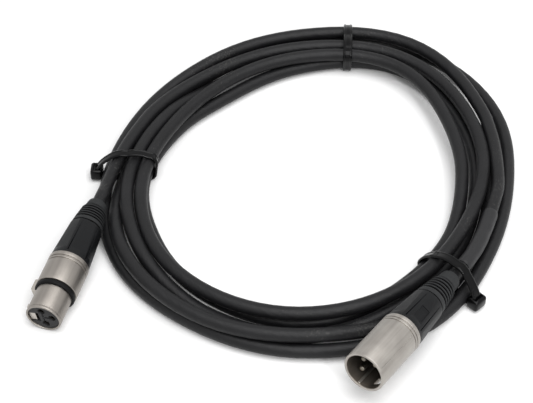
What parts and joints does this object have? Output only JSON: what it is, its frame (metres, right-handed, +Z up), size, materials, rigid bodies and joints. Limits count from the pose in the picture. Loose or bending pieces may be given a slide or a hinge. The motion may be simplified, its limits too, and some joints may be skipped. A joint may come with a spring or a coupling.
{
  "type": "microphone cable coil",
  "caption": "Balanced microphone cable wound into a flat coil and held by cable ties, with a latching female plug at one end and a male plug at the other.",
  "frame": {"origin": "middle of the outline seen from above, at the surface that the coil's ties rest on", "axes": "+Z up; +X to the right and +Y away as the picture shows the coil; both plugs point towards -Y"},
  "size_m": [0.2269, 0.2522, 0.0304],
  "materials": {
    "cable_jacket": "matte",
    "blank_sleeve": "satin",
    "tie_nylon": "gloss",
    "nickel_shell": "satin nickel",
    "nickel_latch": "satin nickel",
    "insert_plastic": "matte",
    "plated_contact": "silver plated",
    "chuck_plastic": "matte",
    "collar_plastic": "satin",
    "boot_rubber": "matte",
    "seal_rubber": "matte",
    "latch_steel": "satin",
    "wire_red": "matte",
    "wire_white": "matte",
    "wire_copper": "bright copper"
  },
  "bodies": {
    "lead": {"cable_coil": "cable_jacket", "male_lead": "cable_jacket", "female_lead": "cable_jacket", "label_sleeve": "blank_sleeve", "tie_left": "tie_nylon", "tie_top": "tie_nylon", "tie_right": "tie_nylon", "male_shell": "nickel_shell", "male_insert": "insert_plastic", "male_pin_1": "plated_contact", "male_pin_2": "plated_contact", "male_pin_3": "plated_contact", "male_chuck": "chuck_plastic", "male_bushing": "collar_plastic", "male_boot": "boot_rubber", "male_wire_hot": "wire_red", "male_wire_cold": "wire_white", "male_wire_shield": "wire_copper", "female_shell": "nickel_shell", "female_seal_ring": "seal_rubber", "female_insert": "insert_plastic", "female_contact_1": "plated_contact", "female_contact_2": "plated_contact", "female_contact_3": "plated_contact", "female_latch_axle": "latch_steel", "female_latch_spring": "latch_steel", "female_chuck": "chuck_plastic", "female_bushing": "collar_plastic", "female_boot": "boot_rubber", "female_wire_hot": "wire_red", "female_wire_cold": "wire_white", "female_wire_shield": "wire_copper"},
    "latch": {"female_latch": "nickel_latch"}
  },
  "joints": [
    {"name": "female_latch_press", "type": "hinge", "parent": "lead", "child": "latch", "pos_m": [-0.10574, -0.06106, 0.00877], "axis": [-0.1834, -0.0109, 0.983], "range_deg": [0, 4], "stiffness_Nm_per_rad": 0.02, "springref_deg": -17.19, "deforming": ["female_latch_spring"]}
  ]
}
